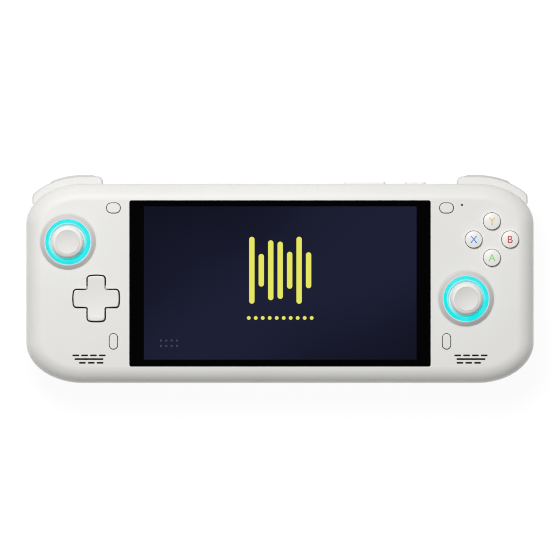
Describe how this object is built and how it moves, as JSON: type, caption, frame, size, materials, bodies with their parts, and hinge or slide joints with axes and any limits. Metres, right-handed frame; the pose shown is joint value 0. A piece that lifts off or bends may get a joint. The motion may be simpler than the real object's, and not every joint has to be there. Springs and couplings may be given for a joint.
{
  "type": "handheld game console",
  "caption": "Handheld game console with a wide central screen, thumb sticks, direction pad, round action buttons, shoulder buttons and rear grips.",
  "frame": {"origin": "under the middle of the console at the level of the grips' flat undersides", "axes": "+X to the player's right, +Y to the top edge with the shoulder buttons, +Z out of the screen"},
  "size_m": [0.2476, 0.1016, 0.043],
  "materials": {
    "shell": "fine-grained warm white moulded plastic",
    "button": "satin white moulded plastic",
    "stick_cap": "soft white rubberised plastic",
    "light_ring": "clear light guide, lit cyan",
    "cover_glass": "black-backed cover glass",
    "display": "display panel",
    "light_metal": "cast and stamped light alloy",
    "steel": "zinc-plated steel",
    "copper": "bare copper",
    "board": "glass-fibre circuit board with solder mask",
    "black_plastic": "black engineering plastic",
    "grey_rubber": "grey silicone rubber",
    "battery": "foil-wrapped cell with black tape"
  },
  "bodies": {
    "console": {"front_shell": "shell", "rear_shell": "shell", "cover_glass": "cover_glass", "display_panel": "display", "mid_frame": "light_metal", "dpad_bracket": "steel", "dpad_rubber": "grey_rubber", "button_rubber": "grey_rubber", "key_switches": "black_plastic", "bumper_switches": "black_plastic", "left_shoulder_bracket": "steel", "right_shoulder_bracket": "steel", "hinge_pins": "steel", "trigger_springs": "steel", "left_speaker": "black_plastic", "right_speaker": "black_plastic", "left_vibration_motor": "steel", "right_vibration_motor": "steel", "left_control_board": "board", "right_control_board": "board", "main_board": "board", "side_key_board": "board", "processor": "black_plastic", "heat_pipe": "copper", "heatsink_fins": "light_metal", "fan_housing": "black_plastic", "battery_pack": "battery", "solid_state_drive": "board", "usb_c_port": "steel", "headphone_jack": "black_plastic", "card_reader": "steel", "shell_screws": "steel", "frame_screws": "steel", "left_light_ring": "light_ring", "left_stick_base": "black_plastic", "right_light_ring": "light_ring", "right_stick_base": "black_plastic"},
    "left_yoke": {"left_stick_yoke": "black_plastic"},
    "left_carriage": {"left_stick_carriage": "steel"},
    "left_cap": {"left_stick_cap": "stick_cap"},
    "right_yoke": {"right_stick_yoke": "black_plastic"},
    "right_carriage": {"right_stick_carriage": "steel"},
    "right_cap": {"right_stick_cap": "stick_cap"},
    "dpad_rocker": {"dpad_pivot": "steel"},
    "dpad": {"dpad": "button"},
    "button_a": {"button_a": "button"},
    "button_b": {"button_b": "button"},
    "button_x": {"button_x": "button"},
    "button_y": {"button_y": "button"},
    "upper_left_key": {"upper_left_key": "button"},
    "upper_right_key": {"upper_right_key": "button"},
    "lower_left_key": {"lower_left_key": "button"},
    "lower_right_key": {"lower_right_key": "button"},
    "left_bumper": {"left_bumper": "shell"},
    "right_bumper": {"right_bumper": "shell"},
    "left_trigger": {"left_trigger": "shell"},
    "right_trigger": {"right_trigger": "shell"},
    "volume_rocker": {"volume_rocker": "shell"},
    "power_button": {"power_button": "shell"},
    "fan_impeller": {"fan_impeller": "black_plastic"}
  },
  "joints": [
    {"name": "left_stick_forward", "type": "hinge", "parent": "console", "child": "left_yoke", "pos_m": [-0.1031, 0.018, 0.0275], "axis": [1, 0, 0], "range_deg": [-15, 15], "stiffness_Nm_per_rad": 0.03},
    {"name": "left_stick_sideways", "type": "hinge", "parent": "left_yoke", "child": "left_carriage", "pos_m": [-0.1031, 0.018, 0.0275], "axis": [0, 1, 0], "range_deg": [-15, 15], "stiffness_Nm_per_rad": 0.03},
    {"name": "left_stick_click", "type": "slide", "parent": "left_carriage", "child": "left_cap", "axis": [0, 0, -1], "range_m": [0, 0.0004], "stiffness_N_per_m": 2500},
    {"name": "right_stick_forward", "type": "hinge", "parent": "console", "child": "right_yoke", "pos_m": [0.0905, -0.0096, 0.0275], "axis": [1, 0, 0], "range_deg": [-15, 15], "stiffness_Nm_per_rad": 0.03},
    {"name": "right_stick_sideways", "type": "hinge", "parent": "right_yoke", "child": "right_carriage", "pos_m": [0.0905, -0.0096, 0.0275], "axis": [0, 1, 0], "range_deg": [-15, 15], "stiffness_Nm_per_rad": 0.03},
    {"name": "right_stick_click", "type": "slide", "parent": "right_carriage", "child": "right_cap", "axis": [0, 0, -1], "range_m": [0, 0.0004], "stiffness_N_per_m": 2500},
    {"name": "dpad_up_down", "type": "hinge", "parent": "console", "child": "dpad_rocker", "pos_m": [-0.0894, -0.0095, 0.0305], "axis": [1, 0, 0], "range_deg": [-4, 4], "stiffness_Nm_per_rad": 0.14},
    {"name": "dpad_left_right", "type": "hinge", "parent": "dpad_rocker", "child": "dpad", "pos_m": [-0.0894, -0.0095, 0.0305], "axis": [0, 1, 0], "range_deg": [-4, 4], "stiffness_Nm_per_rad": 0.14},
    {"name": "press_a", "type": "slide", "parent": "console", "child": "button_a", "axis": [0, 0, -1], "range_m": [0, 0.0013], "stiffness_N_per_m": 400},
    {"name": "press_b", "type": "slide", "parent": "console", "child": "button_b", "axis": [0, 0, -1], "range_m": [0, 0.0013], "stiffness_N_per_m": 400},
    {"name": "press_x", "type": "slide", "parent": "console", "child": "button_x", "axis": [0, 0, -1], "range_m": [0, 0.0013], "stiffness_N_per_m": 400},
    {"name": "press_y", "type": "slide", "parent": "console", "child": "button_y", "axis": [0, 0, -1], "range_m": [0, 0.0013], "stiffness_N_per_m": 400},
    {"name": "press_upper_left_key", "type": "slide", "parent": "console", "child": "upper_left_key", "axis": [0, 0, -1], "range_m": [0, 0.0004], "stiffness_N_per_m": 1200},
    {"name": "press_upper_right_key", "type": "slide", "parent": "console", "child": "upper_right_key", "axis": [0, 0, -1], "range_m": [0, 0.0004], "stiffness_N_per_m": 1200},
    {"name": "press_lower_left_key", "type": "slide", "parent": "console", "child": "lower_left_key", "axis": [0, 0, -1], "range_m": [0, 0.0004], "stiffness_N_per_m": 1200},
    {"name": "press_lower_right_key", "type": "slide", "parent": "console", "child": "lower_right_key", "axis": [0, 0, -1], "range_m": [0, 0.0004], "stiffness_N_per_m": 1200},
    {"name": "left_bumper_press", "type": "hinge", "parent": "console", "child": "left_bumper", "pos_m": [-0.0893, 0.0392, 0.0234], "axis": [0, 0, 1], "range_deg": [0, 2.5], "stiffness_Nm_per_rad": 0.6},
    {"name": "right_bumper_press", "type": "hinge", "parent": "console", "child": "right_bumper", "pos_m": [0.0893, 0.0392, 0.0234], "axis": [0, 0, -1], "range_deg": [0, 2.5], "stiffness_Nm_per_rad": 0.6},
    {"name": "left_trigger_pull", "type": "hinge", "parent": "console", "child": "left_trigger", "pos_m": [-0.10015, 0.0433, 0.0156], "axis": [-1, 0, 0], "range_deg": [0, 18], "stiffness_Nm_per_rad": 0.06},
    {"name": "right_trigger_pull", "type": "hinge", "parent": "console", "child": "right_trigger", "pos_m": [0.10015, 0.0433, 0.0156], "axis": [-1, 0, 0], "range_deg": [0, 18], "stiffness_Nm_per_rad": 0.06},
    {"name": "volume_rock", "type": "hinge", "parent": "console", "child": "volume_rocker", "pos_m": [0.0415, 0.0434, 0.0213], "axis": [0, 0, 1], "range_deg": [-2, 2], "stiffness_Nm_per_rad": 0.4},
    {"name": "power_press", "type": "slide", "parent": "console", "child": "power_button", "axis": [0, -1, 0], "range_m": [0, 0.0004], "stiffness_N_per_m": 2000},
    {"name": "fan_spin", "type": "hinge", "parent": "console", "child": "fan_impeller", "pos_m": [-0.02, 0.0098, 0.0181], "axis": [0, 0, 1], "continuous": true}
  ]
}
